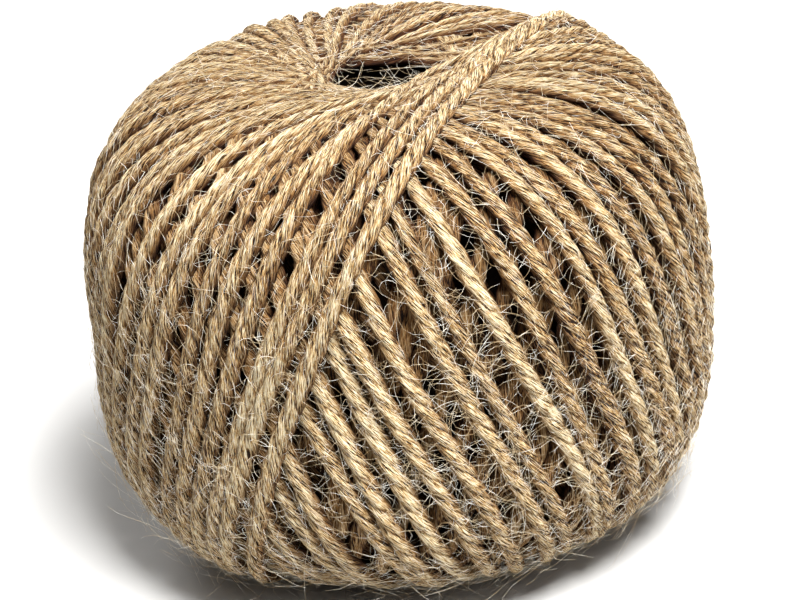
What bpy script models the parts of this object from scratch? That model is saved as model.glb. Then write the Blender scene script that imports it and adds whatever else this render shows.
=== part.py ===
"""A ball of three-ply jute twine, wound by machine on a mandrel that has since been drawn out.

Every turn is a nearly flat loop that goes once round the ball, tilted some way from the winding axis, and each loop
is turned six degrees about that axis from the one before. Loops therefore lean one way where they run down the ball
and the other way where they come back up, and each family of turns shows on one side of the newest loop.
The part stands on its base with the winding axis upright: metres, +Z up, origin at the middle of the base.
"""

import math

import bmesh
import bpy
import numpy as np
from mathutils import Vector

# The ball, measured over the twine
BALL_RADIUS = 0.0450
CROWN_HEIGHT = 0.0400
BASE_DEPTH = 0.0338
SQUARENESS = 3.4
FLAT_DEPTH = 0.0014

# The dimple round each end of the hole
DIMPLE_SHARE = 0.085
DIMPLE_ANGLE = math.radians(25)

# The hole that the mandrel leaves
HOLE_NECK_RADIUS = 0.0056
HOLE_MOUTH_RADIUS = 0.0084

# The winding
TWINE_DIAMETER = 0.0029
LOOP_TILT = math.radians(26.4)
TURNS_ROUND = 60
LAST_TURN_AZIMUTH = math.radians(-114)
LAYER_STEP = 0.0050
GROOVE_DEPTH = 0.0014
POLE_PULL = 0.50
POLE_PULL_ANGLE = math.radians(38)

# How finely the solid is made
ROWS = 25
STEPS_ACROSS_TWINE = 3
TWIST_LIMIT = math.radians(68)
RING_STEPS = 60
RING_SIDES = 8
HOLE_SIDES = 24
SHORTEST_EDGE = 0.00008

TWINE_COLOUR = (0.56, 0.40, 0.22, 1.0)
TWINE_ROUGHNESS = 0.92


def shell_radius(latitude):
    """Distance from the ball's centre to its surface: a superellipse, pressed in round the poles."""
    height = np.where(latitude > 0, CROWN_HEIGHT, BASE_DEPTH)
    across = (np.cos(latitude) / BALL_RADIUS) ** SQUARENESS
    upward = (np.abs(np.sin(latitude)) / height) ** SQUARENESS
    from_pole = math.pi / 2 - np.abs(latitude)
    dimple = DIMPLE_SHARE * np.exp(-((from_pole / DIMPLE_ANGLE) ** 2))
    return (across + upward) ** (-1 / SQUARENESS) * (1 - dimple)


def loop_swing(latitude):
    """How far a tilted loop has swung round the axis between the waist and a latitude, held short of the poles."""
    limit = math.sin(TWIST_LIMIT)
    return np.arcsin(np.clip(np.tan(latitude) * math.tan(LOOP_TILT), -limit, limit))


def row_latitudes():
    """Latitudes from the base up to the crown, with equal lengths of surface between them."""
    fine = np.radians(np.linspace(-84, 84, 2001))
    radius = shell_radius(fine)
    step = np.hypot(np.diff(radius * np.cos(fine)), np.diff(radius * np.sin(fine)))
    length = np.concatenate([[0], np.cumsum(step)])
    return np.interp(np.linspace(0, length[-1], ROWS), length, fine)


def wound_points(leans_left):
    """Points of the ball as if one family of turns covered all of it, a row for each latitude.

    Columns follow the turns: one runs along each groove and the others over the round back of the twine beside it.
    A turn's age is the angle from the newest turn back to it, and older turns lie deeper.
    """
    latitude = row_latitudes()[:, None]
    column = np.arange(STEPS_ACROSS_TWINE * TURNS_ROUND)[None, :]
    age = (column + 0.5) * 2 * math.pi / column.size
    swing = loop_swing(latitude)
    if leans_left:
        azimuth = LAST_TURN_AZIMUTH - age + swing
    else:
        azimuth = LAST_TURN_AZIMUTH - math.pi - age - swing
    radius = shell_radius(latitude)
    spread = np.clip(radius * np.cos(latitude) / BALL_RADIUS, 0.3, 1.0)
    groove = np.where(column % STEPS_ACROSS_TWINE == 0, GROOVE_DEPTH * spread, 0.0)
    depth = LAYER_STEP * spread**2 * (age / (2 * math.pi) - 0.25)
    radius = radius - groove - depth
    level = np.cos(latitude) * radius
    return np.stack([level * np.cos(azimuth), level * np.sin(azimuth), np.sin(latitude) * radius], axis=-1)


def wound_body(name, leans_left):
    """A closed mesh through wound_points, with a point on the axis at each end."""
    points = wound_points(leans_left)
    rows, columns = points.shape[:2]
    mesh = bmesh.new()
    grid = [[mesh.verts.new(p) for p in row] for row in points]
    ends = [mesh.verts.new((0, 0, points[row, :, 2].mean())) for row in (0, -1)]
    for j in range(rows - 1):
        for i in range(columns):
            k = (i + 1) % columns
            mesh.faces.new((grid[j][i], grid[j][k], grid[j + 1][k], grid[j + 1][i]))
    for i in range(columns):
        k = (i + 1) % columns
        mesh.faces.new((grid[0][k], grid[0][i], ends[0]))
        mesh.faces.new((grid[-1][i], grid[-1][k], ends[1]))
    bmesh.ops.triangulate(mesh, faces=mesh.faces[:], quad_method="SHORT_EDGE")
    bmesh.ops.recalc_face_normals(mesh, faces=mesh.faces[:])
    return object_of(mesh, name)


def newest_loop():
    """The newest turn by itself: a round closed tube lying in the plane that parts the two families."""
    normal = last_loop_normal()
    level = normal.cross(Vector((0, 0, 1))).normalized()
    climb = level.cross(normal)
    mesh = bmesh.new()
    rings = []
    for step in range(RING_STEPS):
        turn = 2 * math.pi * step / RING_STEPS
        outward = level * math.cos(turn) + climb * math.sin(turn)
        latitude = np.array([math.asin(outward.z)])
        raised = 0.25 * LAYER_STEP * math.cos(latitude[0]) ** 2
        centre = outward * float(shell_radius(latitude)[0] + raised - 0.4 * TWINE_DIAMETER)
        ring = []
        for side in range(RING_SIDES):
            angle = 2 * math.pi * (side + 0.5) / RING_SIDES
            offset = outward * math.cos(angle) + normal * math.sin(angle)
            ring.append(mesh.verts.new(centre + offset * (TWINE_DIAMETER / 2)))
        rings.append(ring)
    for step in range(RING_STEPS):
        here = rings[step]
        there = rings[(step + 1) % RING_STEPS]
        for i in range(RING_SIDES):
            k = (i + 1) % RING_SIDES
            mesh.faces.new((here[i], here[k], there[k], there[i]))
    bmesh.ops.triangulate(mesh, faces=mesh.faces[:])
    bmesh.ops.recalc_face_normals(mesh, faces=mesh.faces[:])
    return object_of(mesh, "newest_loop")


def object_of(mesh, name):
    """Turns a bmesh into an object in the scene."""
    data = bpy.data.meshes.new(name)
    mesh.to_mesh(data)
    mesh.free()
    made = bpy.data.objects.new(name, data)
    bpy.context.scene.collection.objects.link(made)
    return made


def last_loop_normal():
    """The upright side of the plane in which the newest loop lies."""
    heading = LAST_TURN_AZIMUTH - math.pi / 2
    level = math.cos(LOOP_TILT)
    return Vector((level * math.cos(heading), level * math.sin(heading), math.sin(LOOP_TILT)))


def keep_side(made, normal):
    """Cuts a body by a plane just beyond the newest loop and keeps the side that normal points to."""
    mesh = bmesh.new()
    mesh.from_mesh(made.data)
    everything = mesh.verts[:] + mesh.edges[:] + mesh.faces[:]
    cut = bmesh.ops.bisect_plane(
        mesh,
        geom=everything,
        dist=1e-7,
        plane_co=normal * (-0.1 * TWINE_DIAMETER),
        plane_no=normal,
        clear_inner=True,
    )
    rim = [part for part in cut["geom_cut"] if isinstance(part, bmesh.types.BMEdge)]
    bmesh.ops.contextual_create(mesh, geom=rim)
    bmesh.ops.recalc_face_normals(mesh, faces=mesh.faces[:])
    mesh.to_mesh(made.data)
    mesh.free()


def hole_cutter():
    """The mandrel's hole, narrowest at the middle: the shape that straight twines passing beside the axis leave."""
    top = CROWN_HEIGHT * 1.2
    flare = (HOLE_MOUTH_RADIUS**2 - HOLE_NECK_RADIUS**2) / CROWN_HEIGHT**2
    mesh = bmesh.new()
    rings = []
    for height in np.linspace(-top, top, 7):
        radius = math.sqrt(HOLE_NECK_RADIUS**2 + flare * height**2)
        turns = [2 * math.pi * i / HOLE_SIDES for i in range(HOLE_SIDES)]
        rings.append([mesh.verts.new((radius * math.cos(t), radius * math.sin(t), height)) for t in turns])
    for low, high in zip(rings, rings[1:]):
        for i in range(HOLE_SIDES):
            k = (i + 1) % HOLE_SIDES
            mesh.faces.new((low[i], low[k], high[k], high[i]))
    mesh.faces.new(rings[0][::-1])
    mesh.faces.new(rings[-1])
    bmesh.ops.triangulate(mesh, faces=mesh.faces[:])
    return object_of(mesh, "mandrel_hole")


def combine(made, other, operation):
    """Applies a Boolean of other to made and removes other."""
    cut = made.modifiers.new("combine", "BOOLEAN")
    cut.operation = operation
    cut.solver = "EXACT"
    cut.object = other
    graph = bpy.context.evaluated_depsgraph_get()
    result = bpy.data.meshes.new_from_object(made.evaluated_get(graph))
    made.modifiers.remove(cut)
    made.data = result
    bpy.data.objects.remove(other)


def pull_to_poles(points):
    """Draws the turns in towards the axis near the poles, where taut twine slides down into the dimple."""
    level = np.hypot(points[:, 0], points[:, 1])
    from_pole = np.arctan2(level, np.abs(points[:, 2]))
    pull = 1 - POLE_PULL * np.exp(-((from_pole / POLE_PULL_ANGLE) ** 2))
    return points * np.stack([pull, pull, np.ones_like(pull)], axis=1)


def reshape(made, function):
    """Moves every point of an object's mesh by a function of all its points."""
    points = np.empty(len(made.data.vertices) * 3)
    made.data.vertices.foreach_get("co", points)
    moved = function(points.reshape(-1, 3))
    made.data.vertices.foreach_set("co", moved.ravel())
    made.data.update()


def stand_on_base(points):
    """Lifts the ball so that its pressed-flat underside lies on z = 0, and centres it on the axis."""
    points = points.copy()
    points[:, 2] -= points[:, 2].min() + FLAT_DEPTH
    points[:, 2] = np.maximum(points[:, 2], 0)
    middle = (points[:, :2].min(axis=0) + points[:, :2].max(axis=0)) / 2
    points[:, :2] -= middle
    return points


def twine_material():
    """Dry natural jute."""
    material = bpy.data.materials.new("jute_twine")
    material.use_nodes = True
    shader = material.node_tree.nodes["Principled BSDF"]
    shader.inputs["Base Color"].default_value = TWINE_COLOUR
    shader.inputs["Roughness"].default_value = TWINE_ROUGHNESS
    shader.inputs["Metallic"].default_value = 0.0
    material.diffuse_color = TWINE_COLOUR
    return material


def tidy(made):
    """Leaves only triangles, and closes up edges too short to matter where that keeps the surface whole."""
    mesh = bmesh.new()
    mesh.from_mesh(made.data)
    bmesh.ops.triangulate(mesh, faces=mesh.faces[:])
    waiting = True
    while waiting:
        waiting = False
        for edge in mesh.edges:
            if edge.calc_length() > SHORTEST_EDGE:
                continue
            first, second = [{e.other_vert(v) for e in v.link_edges} for v in edge.verts]
            shared = first & second
            if len(shared) == 2 and all(len(v.link_edges) > 3 for v in shared):
                bmesh.ops.collapse(mesh, edges=[edge])
                waiting = True
                break
    mesh.to_mesh(made.data)
    mesh.free()


def main():
    for old in list(bpy.data.objects):
        bpy.data.objects.remove(old)
    normal = last_loop_normal()
    ball = wound_body("twine_ball", leans_left=True)
    keep_side(ball, normal)
    other = wound_body("other_side", leans_left=False)
    keep_side(other, -normal)
    combine(ball, other, "UNION")
    combine(ball, newest_loop(), "UNION")
    tidy(ball)
    reshape(ball, pull_to_poles)
    combine(ball, hole_cutter(), "DIFFERENCE")
    reshape(ball, stand_on_base)
    tidy(ball)
    ball.data.materials.clear()
    ball.data.materials.append(twine_material())
    ball.data.shade_smooth()
    ball.data.set_sharp_from_angle(angle=math.radians(50))


main()
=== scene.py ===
"""The looks of the ball of jute twine: the twine itself, wound turn by turn, and its loose fibres.

All lengths are in metres. The ball's centre is the point that the loops go round, some way up the winding axis.
The winding is worked out once, oldest turn first, as one long path. A stretch of twine lies deeper the older it is,
so older turns show through the gaps between newer ones, as they do in the real ball.
"""

import math

import bpy
import numpy as np
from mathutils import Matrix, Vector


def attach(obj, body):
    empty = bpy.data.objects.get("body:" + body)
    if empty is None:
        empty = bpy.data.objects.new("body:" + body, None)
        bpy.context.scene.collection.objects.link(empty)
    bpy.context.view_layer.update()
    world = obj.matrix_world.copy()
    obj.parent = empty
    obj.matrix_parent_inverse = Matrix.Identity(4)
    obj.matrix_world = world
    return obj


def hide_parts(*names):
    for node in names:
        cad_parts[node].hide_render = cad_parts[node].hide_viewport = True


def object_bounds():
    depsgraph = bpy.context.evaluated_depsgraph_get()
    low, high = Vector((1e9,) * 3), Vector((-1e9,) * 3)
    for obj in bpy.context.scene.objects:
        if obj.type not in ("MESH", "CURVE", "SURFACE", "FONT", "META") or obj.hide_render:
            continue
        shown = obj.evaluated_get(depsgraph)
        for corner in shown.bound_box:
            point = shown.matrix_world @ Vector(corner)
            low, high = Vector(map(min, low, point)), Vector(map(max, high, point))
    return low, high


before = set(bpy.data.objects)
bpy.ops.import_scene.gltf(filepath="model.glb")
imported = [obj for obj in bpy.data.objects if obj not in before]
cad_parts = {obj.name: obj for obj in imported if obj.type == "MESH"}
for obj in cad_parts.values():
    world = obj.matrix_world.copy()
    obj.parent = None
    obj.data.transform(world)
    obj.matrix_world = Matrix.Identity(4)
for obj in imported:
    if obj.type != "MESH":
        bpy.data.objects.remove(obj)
cad_low, cad_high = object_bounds()
CAD_NODE = "twine_ball"
rng = np.random.default_rng(41)
FULL_TURN = 2 * math.pi
CM_PER_M = 100
TINY = 1e-12

# The ball's form, as in the solid, and the latitudes among which its crown is looked for
BALL_RADIUS = (cad_high.x - cad_low.x) / 2
CROWN_HEIGHT = 0.0400
BASE_DEPTH = 0.0338
SQUARENESS = 3.4
DIMPLE_SHARE = 0.085
DIMPLE_ANGLE = math.radians(25)
CROWN_LATITUDES = np.radians(np.linspace(30, 89, 500))

# The twine: three plies that wind round each other once in a lay length
TWINE_RADIUS = 0.00149
LAY_LENGTH = 0.0124
PLIES = 3
PLY_RADIUS = 0.00104
PLY_OFFSET = TWINE_RADIUS - PLY_RADIUS
TWINE_ROUND_CM = FULL_TURN * TWINE_RADIUS * CM_PER_M

# The winding: ages are counted in turns from where the newest turn crosses the waist on its way down, a quarter turn
# before its end, and a turn crosses the top half way through
LOOP_TILT = math.radians(26.4)
LAST_TURN_AZIMUTH = math.radians(-114)
TURNS_ROUND = 60
TURNS = 100
SAMPLES_PER_TURN = 768
STEP_OF_TURN = FULL_TURN / TURNS_ROUND
STEP_OF_LAST_TURNS = math.radians(4.6)
LAST_TURNS = 6
WAIST_TURN = 0.25
TOP_TURN = 0.5

# How far the winding strays from an even one, and how many samples apart
STEP_STRAY = 0.27
HEADING_WANDER = math.radians(0.9)
WANDER_SPACING = SAMPLES_PER_TURN / 6
HEADING_TREMBLE = math.radians(0.35)
TREMBLE_SPACING = SAMPLES_PER_TURN / 15
TILT_WANDER = math.radians(0.9)
TILT_SPACING = SAMPLES_PER_TURN / 2
RISE_WANDER = 0.00012
RISE_SPACING = SAMPLES_PER_TURN / 16

# How strongly turns are drawn in towards the poles: at the top by age, at the base all much the same
PULL_ANGLE = math.radians(51)
PULL_AGES = [0, 1, 2, 3, 5, 11, 16, 25, 50, 62, 100]
PULL_SHARES = [0.05, 0.24, 0.43, 0.59, 0.70, 0.78, 0.76, 0.70, 0.62, 0.42, 0.30]
PULL_STRAY = 0.06
PULL_STRAY_AGE = 3
PULL_LIMITS = (0.04, 0.80)
BASE_PULL = 0.62
BASE_PULL_STRAY = 0.10
BASE_PULL_LIMITS = (0.05, 0.90)

# How deep a turn lies, and how the turns crowd beside the hole
NEWEST_RISE = 0.0013
LAYER_STEP = 0.0052
DEPTH_ANGLES = np.radians([15, 45, 75])
DEPTH_SHARES = [0.30, 0.55, 1.0]
CROWDING_ANGLE = math.radians(32)
CROWDED_RELIEF = 0.0008
WAIST_RELIEF = 0.00022
EVEN_TURNS = 3
NEWEST_BUNDLE_RISE = 0.0019
NEWEST_BUNDLE_TURNS = 3.5
THINNING_ANGLE = math.radians(42)
CROWDED_THINNING = 0.50
NEWEST_THINNING_SHARE = 0.5
NEWEST_THICK_TURNS = 4

# The camera, as fitted to the photograph
CAMERA_ELEVATION = math.radians(25.5)
CAMERA_ROLL = math.radians(-5.0)
CAMERA_DISTANCE = 0.554
CAMERA_LENS = 170.5
SENSOR_WIDTH = 36.0
IMAGE_WIDTH = 800
IMAGE_HEIGHT = 600
CENTRE_PIXEL = (401.5, 303.0)


def shell_radius(latitude):
    """Distance from the ball's centre to its surface: a superellipse, pressed in round the poles."""
    height = np.where(latitude > 0, CROWN_HEIGHT, BASE_DEPTH)
    across = (np.cos(latitude) / BALL_RADIUS) ** SQUARENESS
    upward = (np.abs(np.sin(latitude)) / height) ** SQUARENESS
    from_pole = math.pi / 2 - np.abs(latitude)
    dimple = DIMPLE_SHARE * np.exp(-((from_pole / DIMPLE_ANGLE) ** 2))
    return (across + upward) ** (-1 / SQUARENESS) * (1 - dimple)


# The height of the ball's centre: it puts the crown of the shell as high as the solid's top
CENTRE_Z = cad_high.z - float((shell_radius(CROWN_LATITUDES) * np.sin(CROWN_LATITUDES)).max())
CENTRE = np.array([0, 0, CENTRE_Z])


def unit(vectors):
    """The same directions, each of length one."""
    return vectors / np.maximum(np.linalg.norm(vectors, axis=-1, keepdims=True), TINY)


def smooth_noise(count, spacing, spread):
    """A smooth random curve of that many values: random knots every spacing values, joined by smooth steps."""
    knots = rng.normal(0, spread, int(count / spacing) + 3)
    place = np.arange(count) / spacing
    low = place.astype(int)
    share = place - low
    share = share * share * (3 - 2 * share)
    return knots[low] * (1 - share) + knots[low + 1] * share


def lengths_along(points):
    """How far along a path each of its points is: the sum of the steps before it."""
    return np.concatenate([[0], np.cumsum(np.linalg.norm(np.diff(points, axis=0), axis=1))])


def winding_directions():
    """Directions from the ball's centre to the twine, oldest first, with each one's age and its depth in turns.

    A turn starts under the ball, climbs one side, crosses the top beside the hole and comes down the other side: a
    circle about the centre, whose highest direction leans from the axis by the loop's tilt and turns on from loop to
    loop. Near the poles it is drawn in towards the hole by an amount of its own, which fades out like a bell curve.
    """
    count = TURNS * SAMPLES_PER_TURN
    turn = (np.arange(count) + 0.5) / SAMPLES_PER_TURN
    back = TURNS - WAIST_TURN - turn
    knots = np.arange(-1, TURNS + 1)
    step = np.where((knots >= 0) & (knots < LAST_TURNS), STEP_OF_LAST_TURNS, STEP_OF_TURN)
    step = step * (1 + rng.uniform(-STEP_STRAY, STEP_STRAY, knots.size) * (knots >= LAST_TURNS))
    precession = np.concatenate([[-step[0]], np.cumsum(step[1:])])
    precession = precession - np.interp(0, knots, precession)
    heading = LAST_TURN_AZIMUTH - math.pi / 2 - np.interp(back, knots, precession)
    heading = heading + smooth_noise(count, WANDER_SPACING, HEADING_WANDER)
    heading = heading + smooth_noise(count, TREMBLE_SPACING, HEADING_TREMBLE)
    tilt = LOOP_TILT + smooth_noise(count, TILT_SPACING, TILT_WANDER)
    phase = FULL_TURN * (turn - TOP_TURN)
    zero = np.zeros(count)
    high = np.stack([-np.sin(tilt) * np.cos(heading), -np.sin(tilt) * np.sin(heading), np.cos(tilt)], axis=1)
    level = np.stack([-np.sin(heading), np.cos(heading), zero], axis=1)
    direction = np.cos(phase)[:, None] * high + np.sin(phase)[:, None] * level
    azimuth = np.arctan2(direction[:, 1], direction[:, 0])
    latitude = np.arcsin(np.clip(direction[:, 2], -1, 1))
    under = depth_under_newest(latitude, azimuth, back)
    places = np.arange(TURNS + 1)
    ages = TURNS - TOP_TURN - places
    usual = np.interp(ages, PULL_AGES, PULL_SHARES)
    pull_top = np.clip(usual + rng.normal(0, PULL_STRAY, places.size) * (ages > PULL_STRAY_AGE), *PULL_LIMITS)
    pull_base = np.clip(BASE_PULL + rng.normal(0, BASE_PULL_STRAY, places.size), *BASE_PULL_LIMITS)
    at_top = np.interp(turn, places + TOP_TURN, pull_top)
    at_base = np.interp(turn, places, pull_base)
    pull = np.where(latitude > 0, at_top, at_base)
    from_pole = math.pi / 2 - np.abs(latitude)
    at_waist = math.exp(-((math.pi / 2 / PULL_ANGLE) ** 2))
    from_pole = from_pole * (1 - pull * (np.exp(-((from_pole / PULL_ANGLE) ** 2)) - at_waist))
    latitude = np.sign(latitude) * (math.pi / 2 - from_pole)
    return latitude, azimuth, back, under


def depth_under_newest(latitude, azimuth, back):
    """How many turns older than the newest turn over the same spot each place is: nought where it shows on top.

    Two halves of loops cross every spot, one leaning left and one leaning right, and the newer of them is on top.
    """
    swing = np.arcsin(np.clip(np.tan(latitude) * math.tan(LOOP_TILT), -1, 1))
    behind = LAST_TURN_AZIMUTH - azimuth
    leaning_left = (behind + swing) % FULL_TURN
    leaning_right = (behind - math.pi - swing) % FULL_TURN
    newest = np.minimum(leaning_left, leaning_right) / STEP_OF_TURN
    return np.maximum(back - newest, 0)


def to_points(latitude, azimuth, radius):
    """Points at that distance from the ball's centre, in the frame of the part."""
    level = radius * np.cos(latitude)
    height = radius * np.sin(latitude) + CENTRE_Z
    return np.stack([level * np.cos(azimuth), level * np.sin(azimuth), height], axis=-1)


def wind():
    """The twine's path as points, oldest first, with what the pieces need to know about each one.

    A turn lies deeper the older it is, and each has a height of its own. Beside the hole the turns crowd together:
    the newest few lie over the others there, and those under them are pressed thinner.
    """
    latitude, azimuth, back, under = winding_directions()
    from_pole = math.pi / 2 - np.abs(latitude)
    depth_share = np.interp(from_pole, DEPTH_ANGLES, DEPTH_SHARES)
    crowding = np.exp(-((from_pole / CROWDING_ANGLE) ** 2))
    knots = np.arange(-1, TURNS + 1)
    own = np.interp(back, knots - WAIST_TURN, rng.uniform(-1, 1, knots.size)) * np.clip(back / EVEN_TURNS, 0, 1)
    lift = own * (WAIST_RELIEF + (CROWDED_RELIEF - WAIST_RELIEF) * crowding)
    lift = lift + NEWEST_BUNDLE_RISE * np.exp(-back / NEWEST_BUNDLE_TURNS) * crowding
    lift = lift + smooth_noise(back.size, RISE_SPACING, RISE_WANDER)
    sunk = (NEWEST_RISE - LAYER_STEP * back / TURNS_ROUND) * depth_share - TWINE_RADIUS + lift
    pressed = CROWDED_THINNING * np.exp(-((from_pole / THINNING_ANGLE) ** 2))
    thinning = 1 - pressed * np.interp(back, [0, NEWEST_THICK_TURNS], [NEWEST_THINNING_SHARE, 1])
    points = to_points(latitude, azimuth, shell_radius(latitude) + sunk)
    return {"points": points, "under": under, "thinning": thinning}


# Painted shade on the twine's rings: darker by their depth under newer turns, and on their flanks and undersides,
# more so where the turns crowd together
DEPTH_SHADE = 0.72
DEPTH_SHADE_FROM = 10
DEPTH_SHADE_TURNS = 36
FLANK_SHADE = 0.75
FLANK_START = 0.7
CROWDED_FLANK_SHADE = 1.9
CROWDED_FLANK_START = 0.26


def tube_mesh(name, points, outward, twist, size, tone, shade, crowded, section):
    """A tube carried along points: each ring is the section turned by twist about the path, and both ends are capped.

    The grid's first direction runs along the twine and the second round it. UV is the length along and the way round,
    in centimetres. Shade is painted into each ring as a number for its material: darker by its depth, and more so on
    its flanks and underneath.
    """
    sides = len(section)
    forward = unit(np.gradient(points, axis=0))
    up = unit(outward - (outward * forward).sum(axis=1, keepdims=True) * forward)
    side = np.cross(forward, up)
    angle = twist[:, None] + np.arange(sides) * FULL_TURN / sides
    radius = section[None, :] * size[:, None]
    rings = points[:, None] + radius[..., None] * (
        np.cos(angle)[..., None] * up[:, None] + np.sin(angle)[..., None] * side[:, None]
    )
    length = lengths_along(points)
    ring = np.arange(len(points) - 1)[:, None]
    around = np.arange(sides)
    after = (around + 1) % sides
    here = ring * sides
    quads = np.stack([here + around, here + after, here + sides + after, here + sides + around], axis=-1)
    caps = [around[::-1].tolist(), ((len(points) - 1) * sides + around).tolist()]
    data = bpy.data.meshes.new(name)
    data.from_pydata(rings.reshape(-1, 3), [], quads.reshape(-1, 4).tolist() + caps)
    v_low = np.broadcast_to(around / sides * TWINE_ROUND_CM, (len(ring), sides))
    v_high = v_low + TWINE_ROUND_CM / sides
    u_low = np.broadcast_to(length[:-1, None] * CM_PER_M, v_low.shape)
    u_high = np.broadcast_to(length[1:, None] * CM_PER_M, v_low.shape)
    u = np.stack([u_low, u_low, u_high, u_high], axis=-1)
    v = np.stack([v_low, v_high, v_high, v_low], axis=-1)
    layer = data.uv_layers.new(name="UVMap")
    corners = np.zeros((len(data.loops), 2))
    corners[: u.size] = np.stack([u.ravel(), v.ravel()], axis=1)
    layer.data.foreach_set("uv", corners.ravel())
    # Painted shade: the ring's depth shade plus a darkening of its flanks and underside, held to one
    flank_start = FLANK_START + CROWDED_FLANK_START * crowded
    flank_shade = FLANK_SHADE + CROWDED_FLANK_SHADE * crowded
    flank = np.clip(1 - np.cos(angle) / flank_start[:, None], 0, 1) * flank_shade[:, None]
    add_attribute(data, "tone", np.repeat(tone, sides))
    add_attribute(data, "shade", np.clip(shade[:, None] + flank, 0, 1).ravel())
    data.shade_smooth()
    return data


def add_attribute(data, name, values):
    """A number for each vertex of a mesh, for its material to read."""
    data.attributes.new(name, "FLOAT", "POINT").data.foreach_set("value", values)


def lobed_section(sides):
    """Distance from the twine's middle to its surface round one ring: three plies pressed together.

    Each ply is a circle whose middle lies off the twine's middle, and it is the surface for a third of the ring.
    """
    half_lobe = math.pi / PLIES
    angle = np.arange(sides) * FULL_TURN / sides + half_lobe
    lobe = (angle + half_lobe) % (2 * half_lobe) - half_lobe
    return PLY_OFFSET * np.cos(lobe) + np.sqrt(PLY_RADIUS**2 - (PLY_OFFSET * np.sin(lobe)) ** 2)


def add_piece(name, data, material):
    """Puts a mesh in the scene as a piece of the ball."""
    data.materials.append(material)
    piece = bpy.data.objects.new(name, data)
    bpy.context.scene.collection.objects.link(piece)
    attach(piece, "root")
    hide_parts(CAD_NODE)


class Shader:
    """A material's node tree, with short ways to add nodes and join them."""

    def __init__(self, name, roughness, specular):
        self.material = bpy.data.materials.new(name)
        self.material.use_nodes = True
        self.tree = self.material.node_tree
        self.surface = self.tree.nodes["Principled BSDF"]
        self.surface.inputs["Roughness"].default_value = roughness
        self.surface.inputs["Specular IOR Level"].default_value = specular

    def node(self, kind, values=None, links=None, **settings):
        """Adds a node; values sets its inputs and links joins sockets to its inputs."""
        made = self.tree.nodes.new(kind)
        for key, value in settings.items():
            setattr(made, key, value)
        for key, value in (values or {}).items():
            made.inputs[key].default_value = value
        for key, socket in (links or {}).items():
            self.tree.links.new(socket, made.inputs[key])
        return made

    def paint(self, colour):
        """Joins a colour to the surface."""
        self.tree.links.new(colour, self.surface.inputs["Base Color"])

    def place(self):
        """Where a point is on the part."""
        return self.node("ShaderNodeTexCoord").outputs["Object"]

    def attribute(self, name):
        """A number that the mesh holds for each vertex."""
        return self.node("ShaderNodeAttribute", attribute_name=name).outputs["Fac"]

    def math(self, operation, *values):
        """The result of a sum on sockets and numbers."""
        made = self.node("ShaderNodeMath", operation=operation)
        for socket, value in zip(made.inputs, values):
            if isinstance(value, bpy.types.NodeSocket):
                self.tree.links.new(value, socket)
            else:
                socket.default_value = value
        return made.outputs[0]

    def add_share(self, total, socket, share):
        """A total with a share of another value added to it, or taken off it where the share is negative."""
        return self.math("MULTIPLY_ADD", socket, share, total)

    def held_line(self, socket, slope, start):
        """A straight line over a socket, held between nought and one."""
        line = self.math("MULTIPLY_ADD", socket, slope, start)
        return self.math("MINIMUM", self.math("MAXIMUM", line, 0.0), 1.0)

    def product(self, first, second):
        """Two colours multiplied together."""
        made = self.node("ShaderNodeMix", {"Factor": 1.0}, data_type="RGBA", blend_type="MULTIPLY")
        colours = [socket for socket in made.inputs if socket.type == "RGBA"]
        self.tree.links.new(first, colours[0])
        self.tree.links.new(second, colours[1])
        return next(socket for socket in made.outputs if socket.type == "RGBA")

    def blend(self, first, second, share):
        """A colour socket blended with a plain colour by a share."""
        made = self.node("ShaderNodeMix", data_type="RGBA", links={"Factor": share})
        colours = [socket for socket in made.inputs if socket.type == "RGBA"]
        self.tree.links.new(first, colours[0])
        colours[1].default_value = (*second, 1.0)
        return next(socket for socket in made.outputs if socket.type == "RGBA")

    def ramp(self, socket, stops):
        """A colour ramp over a socket; stops holds (position, colour) pairs."""
        made = self.node("ShaderNodeValToRGB", links={"Fac": socket})
        elements = made.color_ramp.elements
        while len(elements) < len(stops):
            elements.new(0.5)
        for element, (position, colour) in zip(elements, stops):
            element.position = position
            element.color = (*colour, 1.0)
        return made.outputs["Color"]

    def noise(self, coordinates, scale, detail, roughness):
        """A noise texture's value."""
        values = {"Scale": scale, "Detail": detail, "Roughness": roughness}
        return self.node("ShaderNodeTexNoise", values, {"Vector": coordinates}).outputs["Fac"]

    def streaks(self, coordinates, scale, slant, detail, roughness):
        """Noise stretched by scale after a turn about Z."""
        turned = self.node("ShaderNodeMapping", {"Rotation": (0, 0, slant)}, {"Vector": coordinates})
        links = {"Vector": turned.outputs["Vector"]}
        stretched = self.node("ShaderNodeMapping", {"Scale": scale}, links)
        return self.noise(stretched.outputs["Vector"], 1.0, detail, roughness)


# Streaks in the twine: how many to a centimetre along it and round it, and how they slant across a ply
FIBRE_SLANT = math.radians(-23)
FIBRE_STREAKS = (6.5, 78.0, 1.0)
STRAND_STREAKS = (2.2, 17.0, 1.0)
PARTING_STREAKS = (3.4, 52.0, 3.0)
PARTING_SLANT = FIBRE_SLANT * 0.6
PATCHES_PER_M = 110.0

# Dark partings lie where the parting noise is low, and pale glints where it is high
PARTING_LINE = (-11.0, 4.9)
GLINT_LINE = (11.0, -6.3)
GLINT_COLOUR = (0.93, 0.90, 0.82)
GLINT_SHARE = 0.42
GROOVE_SHARPNESS = 7.0

# How much each pattern lightens or darkens the twine, about a middle tone
FIBRE_SHARE = 2.1
STRAND_SHARE = 0.45
MIDDLE_TONE = -0.65
PARTING_SHARE = -0.46
PATCH_SHARE = 0.25
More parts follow.
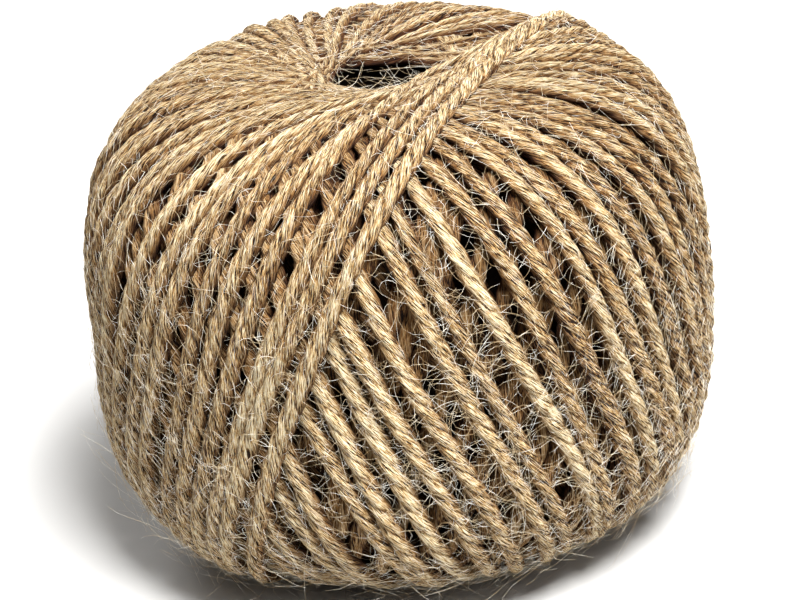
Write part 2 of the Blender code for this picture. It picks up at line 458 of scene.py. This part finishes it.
# Painted shade in the grooves between plies
GROOVE_SHADE_SHARE = -0.17
JUTE_COLOURS = [
    (0.34, (0.020, 0.008, 0.003)),
    (0.46, (0.185, 0.080, 0.023)),
    (0.57, (0.440, 0.250, 0.086)),
    (0.69, (0.675, 0.485, 0.226)),
    (0.84, (0.905, 0.805, 0.565)),
]
# Painted shade: white where a ring is unshaded, orange-brown to near-black where it lies deep or on its flanks
PAINTED_SHADE_COLOURS = [(0.0, (1.0, 1.0, 1.0)), (0.4, (0.56, 0.42, 0.29)), (1.0, (0.15, 0.066, 0.026))]

# The relief of the twine's surface, as a share of the fibres' own
STRAND_RELIEF = 0.6
GROOVE_RELIEF = -0.5
PARTING_RELIEF = -0.5
RELIEF_HEIGHT = 0.0008


def twine_material():
    """Dry jute: pale and brown fibres side by side along each ply, uneven from place to place, dull and a bit fuzzy.

    The tone is a sum of fibres, strands, partings, patches and painted shade in the grooves between plies, and the
    grooves lie where the way round the twine is a whole number of thirds. The colour is then multiplied by painted
    shade for depth and flanks.
    """
    shader = Shader("jute_twine_look", roughness=0.78, specular=0.2)
    uv = shader.node("ShaderNodeUVMap", uv_map="UVMap").outputs["UV"]
    fibres = shader.streaks(uv, FIBRE_STREAKS, FIBRE_SLANT, detail=3.0, roughness=0.65)
    strands = shader.streaks(uv, STRAND_STREAKS, FIBRE_SLANT, detail=3.0, roughness=0.6)
    partings = shader.streaks(uv, PARTING_STREAKS, PARTING_SLANT, detail=2.0, roughness=0.5)
    parting = shader.held_line(partings, *PARTING_LINE)
    glint = shader.held_line(partings, *GLINT_LINE)
    patches = shader.noise(shader.place(), PATCHES_PER_M, detail=2.0, roughness=0.5)
    # The grooves between plies, for painted shade in the colour and for the relief
    round_way = shader.node("ShaderNodeSeparateXYZ", links={"Vector": uv}).outputs["Y"]
    ply = shader.math("FRACT", shader.math("MULTIPLY", round_way, PLIES / TWINE_ROUND_CM))
    from_middle = shader.math("ABSOLUTE", shader.math("SUBTRACT", ply, 0.5))
    from_groove = shader.math("SUBTRACT", 0.5, from_middle)
    groove = shader.math("MAXIMUM", shader.math("MULTIPLY_ADD", from_groove, -GROOVE_SHARPNESS, 1.0), 0.0)
    mixed = shader.math("MULTIPLY_ADD", fibres, FIBRE_SHARE, MIDDLE_TONE - PATCH_SHARE / 2)
    mixed = shader.add_share(mixed, strands, STRAND_SHARE)
    mixed = shader.add_share(mixed, parting, PARTING_SHARE)
    mixed = shader.add_share(mixed, patches, PATCH_SHARE)
    mixed = shader.add_share(mixed, groove, GROOVE_SHADE_SHARE)
    mixed = shader.math("ADD", mixed, shader.attribute("tone"))
    glinting = shader.math("MULTIPLY", glint, GLINT_SHARE)
    fibre_colour = shader.blend(shader.ramp(mixed, JUTE_COLOURS), GLINT_COLOUR, glinting)
    # Painted shade: the colour is multiplied by a tint read from each ring's painted shade number
    painted_shade_tint = shader.ramp(shader.attribute("shade"), PAINTED_SHADE_COLOURS)
    shader.paint(shader.product(fibre_colour, painted_shade_tint))
    height = shader.add_share(fibres, strands, STRAND_RELIEF)
    height = shader.add_share(height, groove, GROOVE_RELIEF)
    height = shader.add_share(height, parting, PARTING_RELIEF)
    bump = shader.node("ShaderNodeBump", {"Strength": 1.0, "Distance": RELIEF_HEIGHT}, {"Height": height})
    shader.tree.links.new(bump.outputs["Normal"], shader.surface.inputs["Normal"])
    return shader.material


LOOSE_FIBRE_COLOURS = [(0.3, (0.40, 0.26, 0.12)), (0.48, (0.66, 0.54, 0.35)), (0.62, (0.95, 0.92, 0.84))]
LOOSE_FIBRE_PATCHES_PER_M = 700.0


def fibre_material():
    """Loose fibres: straw-coloured in some places and nearly white in others."""
    shader = Shader("loose_fibre_look", roughness=0.6, specular=0.3)
    patches = shader.noise(shader.place(), LOOSE_FIBRE_PATCHES_PER_M, detail=1.0, roughness=0.5)
    shader.paint(shader.ramp(patches, LOOSE_FIBRE_COLOURS))
    return shader.material


# Painted shade: near-black colours for the deep winding and the hole's bore, which are jute lying in shade
PAINTED_DEPTH_SHADE_COLOURS = [(0.3, (0.008, 0.004, 0.002)), (0.7, (0.035, 0.017, 0.007))]
DEPTH_PATCHES_PER_M = 260.0


def depth_material():
    """The depth of the winding, seen only through gaps: its near-black colour is painted shade."""
    shader = Shader("winding_depth_shade_look", roughness=0.95, specular=0.5)
    patches = shader.noise(shader.place(), DEPTH_PATCHES_PER_M, detail=2.0, roughness=0.6)
    shader.paint(shader.ramp(patches, PAINTED_DEPTH_SHADE_COLOURS))
    return shader.material


# The pieces of twine: how many turns back each one starts and ends, samples between its rings, and sides of a ring
TWINE_PIECES = [
    ("twine_newest_turns", 0, 20, 4, 12),
    ("twine_second_turns", 20, 40, 4, 12),
    ("twine_third_turns", 40, 60, 4, 12),
    ("twine_under_turns", 60, 100, 6, 9),
]
NEAREST_FLOOR = 0.00005

# How the twine's twist in radians, thickness and tone stray along it: how many samples apart, and how far
TWIST_STRAY = (160, 0.25)
SHORT_THICKNESS_STRAY = (36, 0.045)
LONG_THICKNESS_STRAY = (240, 0.05)
LONG_TONE_STRAY = (SAMPLES_PER_TURN * 0.7, 0.042)
SHORT_TONE_STRAY = (56, 0.032)


def build_twine(path, material):
    """The twine's pieces, from the newest turns to the oldest, each a three-lobed tube twisted the S way.

    The twist grows evenly with the length along the path, and strays a little from that, as do thickness and tone.
    """
    points = path["points"]
    count = len(points)
    twist = -FULL_TURN * lengths_along(points) / LAY_LENGTH + smooth_noise(count, *TWIST_STRAY)
    thick = 1 + smooth_noise(count, *SHORT_THICKNESS_STRAY) + smooth_noise(count, *LONG_THICKNESS_STRAY)
    tone = smooth_noise(count, *LONG_TONE_STRAY) + smooth_noise(count, *SHORT_TONE_STRAY)
    thick = thick * path["thinning"]
    # Painted shade for turns that lie deep under newer ones
    shade = DEPTH_SHADE * np.clip((path["under"] - DEPTH_SHADE_FROM) / DEPTH_SHADE_TURNS, 0, 1)
    crowded = (1 - path["thinning"]) / CROWDED_THINNING
    outward = points - CENTRE
    along = [points, outward, twist, thick, tone, shade, crowded]
    for name, newest, oldest, every, sides in TWINE_PIECES:
        first = count - oldest * SAMPLES_PER_TURN
        last = min(count - newest * SAMPLES_PER_TURN + every, count)
        kept = [values[first:last:every] for values in along]
        data = tube_mesh(name, *kept, lobed_section(sides))
        rest_on_floor(data)
        add_piece(name, data, material)


def rest_on_floor(data):
    """Presses flat whatever would reach under the floor."""
    places = np.empty(len(data.vertices) * 3)
    data.vertices.foreach_get("co", places)
    places = places.reshape(-1, 3)
    places[:, 2] = np.maximum(places[:, 2], NEAREST_FLOOR)
    data.vertices.foreach_set("co", places.ravel())
    data.update()


# The body under the turns, dark with painted shade
BODY_GAP = 0.0085
BODY_LATITUDES = np.radians(np.linspace(-80, 80, 60))
BODY_COLUMNS = 96
BORE_RADIUS = 0.0056
BORE_FLARE = 0.126
BORE_ROWS = 24


def build_depth(material):
    """A closed body in painted shade under the turns, the hole through it: a profile turned about the winding axis.

    Outside, the profile is the ball's form, drawn in by a gap. Inside, it is a hyperbola that widens to both ends.
    """
    radius = shell_radius(BODY_LATITUDES) - BODY_GAP
    outer = np.stack([radius * np.cos(BODY_LATITUDES), radius * np.sin(BODY_LATITUDES)], axis=1)
    height = np.linspace(outer[-1, 1], outer[0, 1], BORE_ROWS)[1:-1]
    bore = np.sqrt(BORE_RADIUS**2 + (BORE_FLARE * height) ** 2)
    outline = np.concatenate([outer, np.stack([bore, height], axis=1)])
    turned = np.linspace(0, FULL_TURN, BODY_COLUMNS, endpoint=False)[:, None]
    level = outline[None, :, 0]
    upward = np.broadcast_to(outline[None, :, 1] + CENTRE_Z, (BODY_COLUMNS, len(outline)))
    places = np.stack([level * np.cos(turned), level * np.sin(turned), upward], axis=-1)
    rows, columns = places.shape[:2]
    i = np.arange(rows)[:, None]
    j = np.arange(columns)[None, :]
    i_next = (i + 1) % rows
    j_next = (j + 1) % columns
    near = [i * columns + j, i_next * columns + j]
    far = [i_next * columns + j_next, i * columns + j_next]
    faces = np.stack(near + far, axis=-1)
    data = bpy.data.meshes.new("winding_depth")
    data.from_pydata(places.reshape(-1, 3), [], faces.reshape(-1, 4).tolist())
    data.shade_smooth()
    add_piece("winding_depth", data, material)


# The loose fibres: how many, and where they grow; their tufts stray along the twine as its thickness does
FIBRES_PER_PIECE = 5200
FIBRE_PIECES = 3
FIBRE_STEPS = 7
GROWING_DEPTH = 3
OFF_AXIS_POWER = 1.3
GROWTH_LOW = 1.4
GROWTH_FALL = 0.9
TUFT_STRAY = (70, 0.45)
ROOT_HEIGHT = (0.1, 0.9)
ROOT_SIDE = (-0.95, 0.95)

# The shape of a loose fibre: angles in radians, its radius, and how far it rises from the twine for its length
FIBRE_HEADING = 0.7
FIBRE_CURL = 1.7
FIBRE_SWAY = 0.65
SWAY_TURNS = (0.5, 1.1)
FIBRE_LENGTH = 0.0056
LENGTH_SPREAD = 0.50
FIBRE_LENGTHS = (0.0025, 0.015)
FIBRE_RADII = (0.000014, 0.000029)
TIP_SHARE = 0.5
FIRST_RISE = 0.15
LATER_FALL = 0.40
RISE_SWAY = 0.15
DEEPEST_FIBRE = 0.0012
FIBRE_SIDES = 3


def build_fibres(path, material):
    """Loose fibres: thin three-sided tapering tubes that leave the twine at a slant and curl over it.

    They grow from turns that show, more of them low down and away from the axis, in loose tufts. Along a fibre its
    heading changes evenly and sways like a sine, and its rise turns into a fall, so its tip bends back to the ball.
    """
    points = path["points"]
    shown = np.nonzero(path["under"] < GROWING_DEPTH)[0]
    from_axis = np.hypot(points[shown, 0], points[shown, 1])
    lowness = GROWTH_LOW - GROWTH_FALL * points[shown, 2] / cad_high.z
    chance = from_axis**OFF_AXIS_POWER * lowness * np.exp(smooth_noise(len(points), *TUFT_STRAY))[shown]
    chance = chance / chance.sum()
    count = FIBRES_PER_PIECE
    t = np.linspace(0, 1, FIBRE_STEPS)

    def spread(size):
        return rng.normal(0, size, count)[:, None]

    def between(low, high):
        return rng.uniform(low, high, count)[:, None]

    for number in range(FIBRE_PIECES):
        place = np.clip(rng.choice(shown, count, p=chance), 1, len(points) - 2)
        forward = unit(points[place + 1] - points[place - 1]) * rng.choice([-1, 1], count)[:, None]
        outward = unit(points[place] - CENTRE)
        side = np.cross(forward, outward)
        off_middle = outward * between(*ROOT_HEIGHT) + side * between(*ROOT_SIDE)
        root = points[place] + TWINE_RADIUS * off_middle
        heading = spread(FIBRE_HEADING)
        curl = spread(FIBRE_CURL)
        sway = spread(FIBRE_SWAY)
        sway_phase = FULL_TURN * between(*SWAY_TURNS) * t
        sway_start = between(0, FULL_TURN)
        length = np.clip(rng.lognormal(math.log(FIBRE_LENGTH), LENGTH_SPREAD, count), *FIBRE_LENGTHS)
        turned = heading + curl * t + sway * np.sin(sway_phase + sway_start)
        climb = np.abs(spread(FIRST_RISE)) - t * np.abs(spread(LATER_FALL)) + spread(RISE_SWAY) * np.sin(sway_phase)
        heading_along = (
            np.cos(turned)[..., None] * forward[:, None]
            + np.sin(turned)[..., None] * side[:, None]
            + climb[..., None] * outward[:, None]
        )
        step = unit(heading_along) * (length / (FIBRE_STEPS - 1))[:, None, None]
        walked = np.cumsum(step, axis=1) - step[:, :1]
        line = keep_outside(root[:, None] + walked)
        thick = between(*FIBRE_RADII) * np.linspace(1, TIP_SHARE, FIBRE_STEPS)
        name = f"loose_fibres_{number + 1}"
        data = hair_mesh(name, line, thick, outward)
        rest_on_floor(data)
        add_piece(name, data, material)


def keep_outside(line):
    """Lifts fibres out of the ball where they would dip deep into it: no deeper than a little under its form."""
    away = line - CENTRE
    distance = np.linalg.norm(away, axis=-1, keepdims=True)
    latitude = np.arcsin(np.clip(away[..., 2:] / distance, -1, 1))
    least = np.minimum(shell_radius(latitude) - DEEPEST_FIBRE, distance[:, :1])
    return CENTRE + away * np.maximum(distance, least) / distance


def hair_mesh(name, line, thick, outward):
    """Many three-sided tubes in one mesh: line holds each one's points, thick its radius at each of them."""
    count, steps = line.shape[:2]
    sides = FIBRE_SIDES
    forward = unit(np.gradient(line, axis=1))
    side = unit(np.cross(forward, outward[:, None]))
    up = np.cross(side, forward)
    angle = np.arange(sides) * FULL_TURN / sides
    around = np.cos(angle)[:, None] * side[:, :, None] + np.sin(angle)[:, None] * up[:, :, None]
    places = line[:, :, None] + around * thick[..., None, None]
    first = (np.arange(count) * steps * sides)[:, None, None] + (np.arange(steps - 1) * sides)[None, :, None]
    here = np.arange(sides)[None, None, :]
    after = (here + 1) % sides
    quads = np.stack([first + here, first + after, first + sides + after, first + sides + here], axis=-1)
    base = np.arange(count)[:, None] * steps * sides
    low_caps = base + np.arange(sides)[::-1]
    high_caps = base + (steps - 1) * sides + np.arange(sides)
    data = bpy.data.meshes.new(name)
    faces = quads.reshape(-1, 4).tolist() + low_caps.tolist() + high_caps.tolist()
    data.from_pydata(places.reshape(-1, 3), [], faces)
    data.shade_smooth()
    return data


# The studio: each light's name, place, size, power in watts and colour
LIGHTS = [
    ("key", (0.18, -0.30, 0.77), 0.34, 25.0, (1.0, 0.99, 0.97)),
    ("fill", (0.45, -0.80, 0.70), 0.40, 1.2, (1.0, 1.0, 1.0)),
    ("back", (-0.45, 0.80, 0.55), 0.50, 7.0, (1.0, 0.99, 0.97)),
]
LIGHT_AIM = (0, 0, 0.04)
FLOOR_REACH = 3.0
FLOOR_COLOUR = (0.49, 0.49, 0.49, 1)
SURROUND_COLOUR = (1.0, 0.96, 0.91, 1)
SURROUND_STRENGTH = 0.16


def add_light(name, place, size, power, colour):
    """A square area light that shines at the ball."""
    light = bpy.data.lights.new(name, "AREA")
    light.shape = "SQUARE"
    light.size = size
    light.energy = power
    light.color = colour
    lamp = bpy.data.objects.new(name, light)
    lamp.location = place
    direction = np.array(LIGHT_AIM) - np.array(place)
    yaw = math.atan2(direction[1], direction[0]) - math.pi / 2
    pitch = math.atan2(direction[2], math.hypot(direction[0], direction[1])) + math.pi / 2
    lamp.rotation_euler = (pitch, 0, yaw)
    bpy.context.scene.collection.objects.link(lamp)


def build_studio():
    """A pale floor, a pale surround and soft lights from above, the front and behind."""
    data = bpy.data.meshes.new("floor")
    corners = [(-1, -1), (1, -1), (1, 1), (-1, 1)]
    data.from_pydata([(x * FLOOR_REACH, y * FLOOR_REACH, 0) for x, y in corners], [], [(0, 1, 2, 3)])
    floor = bpy.data.objects.new("floor", data)
    bpy.context.scene.collection.objects.link(floor)
    shader = Shader("floor_look", roughness=0.9, specular=0.5)
    shader.surface.inputs["Base Color"].default_value = FLOOR_COLOUR
    data.materials.append(shader.material)
    world = bpy.data.worlds.new("pale_surround")
    world.use_nodes = True
    surround = world.node_tree.nodes["Background"]
    surround.inputs["Color"].default_value = SURROUND_COLOUR
    surround.inputs["Strength"].default_value = SURROUND_STRENGTH
    bpy.context.scene.view_settings.view_transform = "Standard"
    bpy.context.scene.world = world
    for light in LIGHTS:
        add_light(*light)


def build_camera():
    """The photograph's camera: it aims so that the ball's centre falls on its pixel in the photograph."""
    pixel = SENSOR_WIDTH / IMAGE_WIDTH / CAMERA_LENS
    across = (CENTRE_PIXEL[0] - IMAGE_WIDTH / 2) * pixel
    below = (CENTRE_PIXEL[1] - IMAGE_HEIGHT / 2) * pixel
    back = np.array([0, -math.cos(CAMERA_ELEVATION), math.sin(CAMERA_ELEVATION)])
    right = np.array([1.0, 0, 0])
    up = np.cross(back, right)
    turned_right = right * math.cos(CAMERA_ROLL) + up * math.sin(CAMERA_ROLL)
    turned_up = up * math.cos(CAMERA_ROLL) - right * math.sin(CAMERA_ROLL)
    camera = bpy.data.objects.new("photo_camera", bpy.data.cameras.new("photo_camera"))
    camera.data.lens = CAMERA_LENS
    camera.data.sensor_width = SENSOR_WIDTH
    matrix = np.eye(4)
    matrix[:3, 0] = turned_right
    matrix[:3, 1] = turned_up
    matrix[:3, 2] = back
    matrix[:3, 3] = CENTRE + CAMERA_DISTANCE * (back - across * turned_right + below * turned_up)
    camera.matrix_world = [list(row) for row in matrix.T]
    bpy.context.scene.collection.objects.link(camera)
    bpy.context.scene.camera = camera


path = wind()
build_twine(path, twine_material())
build_depth(depth_material())
build_fibres(path, fibre_material())
build_studio()
build_camera()
